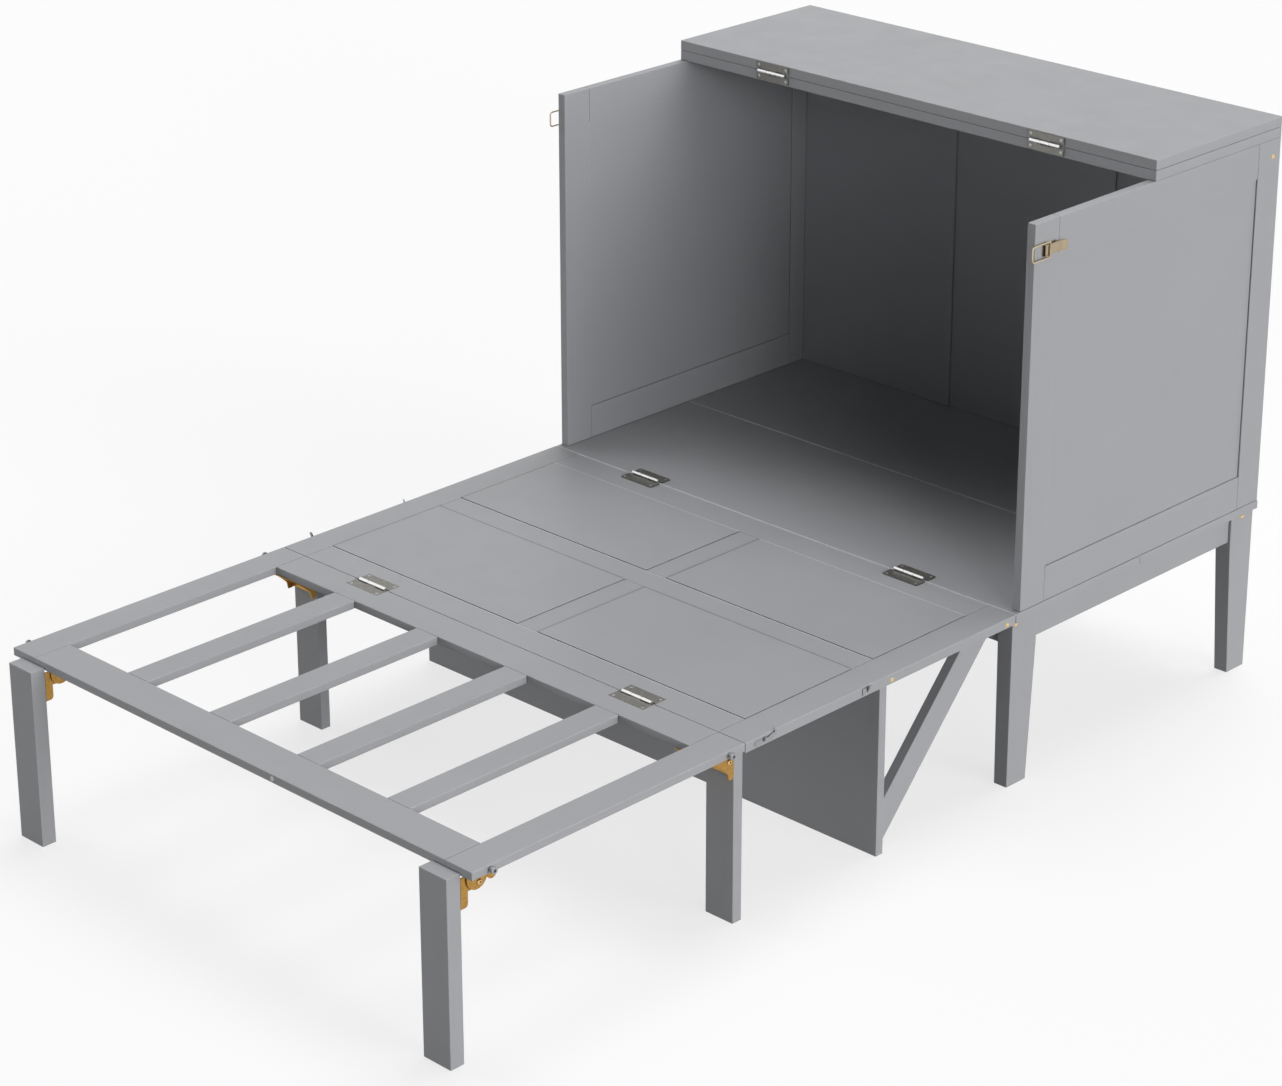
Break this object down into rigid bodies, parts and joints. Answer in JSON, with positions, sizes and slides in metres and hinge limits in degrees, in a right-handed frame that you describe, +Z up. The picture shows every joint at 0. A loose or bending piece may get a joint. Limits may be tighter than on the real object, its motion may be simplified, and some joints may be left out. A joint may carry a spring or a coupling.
{
  "type": "cabinet bed",
  "caption": "Folding bed and low cabinet: a hinged middle section lifts to close the cabinet as its door, a slatted foot section folds onto it, and a lid flap covers the top.",
  "frame": {"origin": "on the floor, under the middle of the outline of the opened bed", "axes": "+X to the right across the bed, +Y from the foot end towards the cabinet's back, +Z up"},
  "size_m": [1.1004, 1.9334, 1.0284],
  "materials": {
    "painted_wood": "satin grey paint",
    "hinge_steel": "dark brushed steel",
    "pin_steel": "bright steel",
    "zinc_steel": "dull zinc plate",
    "bolt_brass": "polished brass",
    "bracket_gold": "gold zinc plate",
    "latch_bronze": "satin bronze"
  },
  "bodies": {
    "cabinet": {"base_front_board": "painted_wood", "base_rear_board": "painted_wood", "base_aprons": "painted_wood", "cabinet_legs": "painted_wood", "left_wall_frame": "painted_wood", "left_wall_panel": "painted_wood", "right_wall_frame": "painted_wood", "right_wall_panel": "painted_wood", "back_battens": "painted_wood", "back_panels": "painted_wood", "lid_board": "painted_wood", "lid_front_strip": "painted_wood", "lid_hinge_leaves": "hinge_steel", "lid_hinge_pins": "pin_steel", "base_hinge_leaves": "hinge_steel", "base_hinge_pins": "pin_steel", "cabinet_bolts": "bolt_brass", "draw_latch_plates": "latch_bronze"},
    "lid_flap": {"flap_board": "painted_wood", "flap_front_strip": "painted_wood", "flap_hinge_leaves": "hinge_steel"},
    "mid_section": {"mid_stiles": "painted_wood", "mid_rails": "painted_wood", "mid_mullions": "painted_wood", "mid_panels": "painted_wood", "mid_hinge_leaves": "hinge_steel", "fold_hinge_mid_leaves": "hinge_steel", "fold_hinge_pins": "pin_steel", "support_board": "painted_wood", "board_braces": "painted_wood", "mid_bolts": "bolt_brass", "mid_keepers": "zinc_steel", "hook_plates": "zinc_steel"},
    "foot_section": {"foot_side_rails": "painted_wood", "foot_end_rails": "painted_wood", "foot_slats": "painted_wood", "fold_hinge_foot_leaves": "hinge_steel", "foot_knobs": "zinc_steel", "rail_bolt": "bolt_brass", "end_leg_yokes": "bracket_gold", "mid_leg_yokes": "bracket_gold", "yoke_bolts": "bolt_brass"},
    "end_leg_left_body": {"end_leg_left": "painted_wood", "end_bracket_left": "bracket_gold"},
    "end_leg_right_body": {"end_leg_right": "painted_wood", "end_bracket_right": "bracket_gold"},
    "mid_leg_left_body": {"mid_leg_left": "painted_wood", "mid_bracket_left": "bracket_gold"},
    "mid_leg_right_body": {"mid_leg_right": "painted_wood", "mid_bracket_right": "bracket_gold"},
    "lever_left_body": {"latch_lever_left": "latch_bronze"},
    "lever_right_body": {"latch_lever_right": "latch_bronze"},
    "bail_left_body": {"latch_bail_left": "latch_bronze"},
    "bail_right_body": {"latch_bail_right": "latch_bronze"},
    "hook_left_body": {"hook_left": "zinc_steel"},
    "hook_right_body": {"hook_right": "zinc_steel"}
  },
  "joints": [
    {"name": "lid_fold", "type": "hinge", "parent": "cabinet", "child": "lid_flap", "pos_m": [0, 0.60815, 1.01035], "axis": [1, 0, 0], "range_deg": [0, 180]},
    {"name": "mid_lift", "type": "hinge", "parent": "cabinet", "child": "mid_section", "pos_m": [0, 0.28415, 0.326], "axis": [-1, 0, 0], "range_deg": [0, 90]},
    {"name": "foot_fold", "type": "hinge", "parent": "mid_section", "child": "foot_section", "pos_m": [0, -0.37085, 0.32275], "axis": [-1, 0, 0], "range_deg": [0, 180]},
    {"name": "end_leg_left_fold", "type": "hinge", "parent": "foot_section", "child": "end_leg_left_body", "pos_m": [-0.487, -0.90535, 0.287], "axis": [1, 0, 0], "range_deg": [0, 90]},
    {"name": "mid_leg_left_fold", "type": "hinge", "parent": "foot_section", "child": "mid_leg_left_body", "pos_m": [-0.487, -0.38335, 0.287], "axis": [-1, 0, 0], "range_deg": [0, 90]},
    {"name": "hook_left_turn", "type": "hinge", "parent": "mid_section", "child": "hook_left_body", "pos_m": [-0.5421, -0.32785, 0.314], "axis": [1, 0, 0], "range_deg": [0, 84]},
    {"name": "lever_left_swing", "type": "hinge", "parent": "cabinet", "child": "lever_left_body", "pos_m": [-0.543, 0.32065, 0.945], "axis": [0, 0, 1], "range_deg": [0, 150]},
    {"name": "bail_left_swing", "type": "hinge", "parent": "lever_left_body", "child": "bail_left_body", "pos_m": [-0.5449, 0.32765, 0.945], "axis": [0, 0, -1], "range_deg": [0, 176]},
    {"name": "end_leg_right_fold", "type": "hinge", "parent": "foot_section", "child": "end_leg_right_body", "pos_m": [0.487, -0.90535, 0.287], "axis": [1, 0, 0], "range_deg": [0, 90]},
    {"name": "mid_leg_right_fold", "type": "hinge", "parent": "foot_section", "child": "mid_leg_right_body", "pos_m": [0.487, -0.38335, 0.287], "axis": [-1, 0, 0], "range_deg": [0, 90]},
    {"name": "hook_right_turn", "type": "hinge", "parent": "mid_section", "child": "hook_right_body", "pos_m": [0.5421, -0.32785, 0.314], "axis": [1, 0, 0], "range_deg": [0, 84]},
    {"name": "lever_right_swing", "type": "hinge", "parent": "cabinet", "child": "lever_right_body", "pos_m": [0.543, 0.32065, 0.945], "axis": [0, 0, -1], "range_deg": [0, 150]},
    {"name": "bail_right_swing", "type": "hinge", "parent": "lever_right_body", "child": "bail_right_body", "pos_m": [0.5449, 0.32765, 0.945], "axis": [0, 0, 1], "range_deg": [0, 176]}
  ],
  "couplings": [
    {"joint": "bail_left_swing", "follows": "lever_left_swing", "ratio": 1.1667},
    {"joint": "bail_right_swing", "follows": "lever_right_swing", "ratio": 1.1667}
  ]
}
